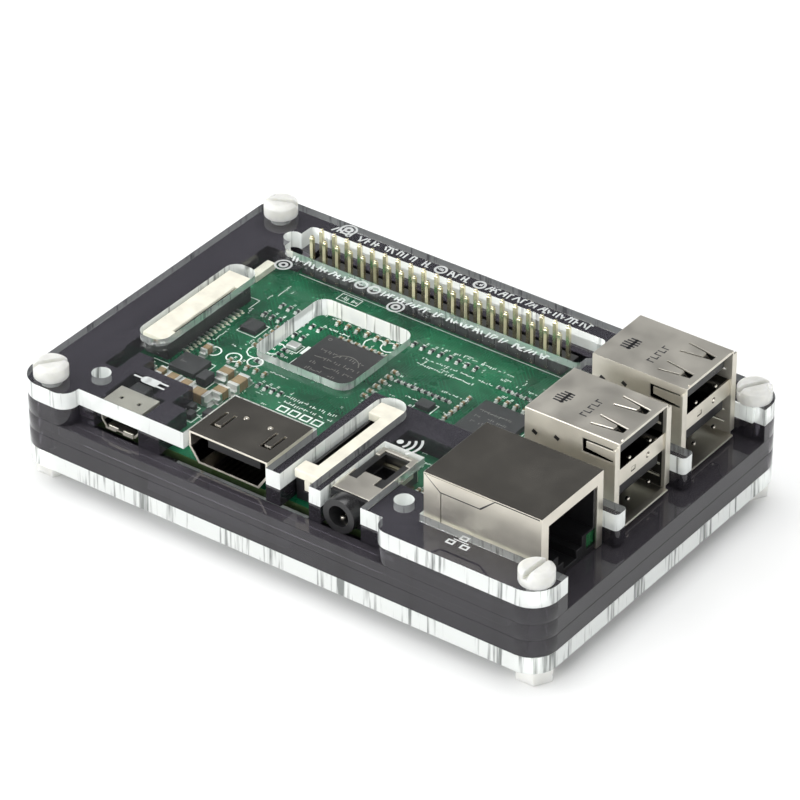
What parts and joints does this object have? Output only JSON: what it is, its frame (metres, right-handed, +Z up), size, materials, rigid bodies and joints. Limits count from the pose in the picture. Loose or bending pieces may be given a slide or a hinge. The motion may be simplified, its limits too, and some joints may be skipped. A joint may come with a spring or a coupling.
{
  "type": "cased single board computer",
  "caption": "Bare green computer board with its sockets and pin header, held in a layered clear and smoke sheet case by corner screws.",
  "frame": {"origin": "centre of the case outline, on the plane the four nuts stand on", "axes": "+X along the long side, towards the network and twin sockets; +Y away from the video socket, towards the pin header; +Z up"},
  "size_m": [0.099, 0.0662, 0.0271],
  "materials": {
    "clear_sheet": "clear, polished faces, laser cut edges",
    "smoke_sheet": "dark smoke tint, polished faces",
    "nylon": "milky natural nylon",
    "board": "green solder mask over glass fibre",
    "chip_black": "moulded, satin",
    "socket_black": "moulded, satin",
    "nickel": "stamped sheet, bright nickel plate",
    "gold": "gold plated",
    "ivory": "moulded, matte",
    "tin": "tinned",
    "tan_ceramic": "fired ceramic",
    "light_window": "tinted, glossy"
  },
  "bodies": {
    "case": {"base_plate": "clear_sheet", "lower_frame": "smoke_sheet", "middle_frame": "smoke_sheet", "upper_frame": "smoke_sheet", "top_plate": "clear_sheet", "case_screws": "nylon", "case_nuts": "nylon", "circuit_board": "board", "processor": "chip_black", "memory_chip": "chip_black", "socket_control_chip": "chip_black", "wireless_chip": "chip_black", "power_chip": "chip_black", "small_chips": "chip_black", "header_base": "socket_black", "header_pins": "gold", "near_twin_shell": "nickel", "near_twin_insulator": "socket_black", "near_twin_divider": "nickel", "near_twin_contacts": "gold", "far_twin_shell": "nickel", "far_twin_insulator": "socket_black", "far_twin_divider": "nickel", "far_twin_contacts": "gold", "network_shell": "nickel", "network_insert": "socket_black", "network_contacts": "gold", "network_lights": "light_window", "video_shell": "nickel", "video_tongue": "socket_black", "video_contacts": "gold", "power_socket_shell": "nickel", "power_socket_tongue": "socket_black", "jack_body": "socket_black", "jack_clip": "nickel", "jack_contacts": "gold", "camera_socket_body": "socket_black", "camera_socket_pins": "tin", "display_socket_body": "socket_black", "display_socket_pins": "tin", "card_slot_shell": "nickel", "card_slot_base": "socket_black", "large_capacitors": "tan_ceramic", "small_capacitors": "tan_ceramic", "resistors": "chip_black", "inductors": "chip_black", "crystals": "tin", "status_lights": "light_window", "antenna": "ivory", "diodes": "chip_black"},
    "camera_latch_body": {"camera_latch": "ivory"},
    "display_latch_body": {"display_latch": "ivory"}
  },
  "joints": [
    {"name": "camera_latch_slide", "type": "slide", "parent": "case", "child": "camera_latch_body", "axis": [0, 0, 1], "range_m": [0, 0.0012]},
    {"name": "display_latch_slide", "type": "slide", "parent": "case", "child": "display_latch_body", "axis": [0, 0, 1], "range_m": [0, 0.0012]}
  ]
}
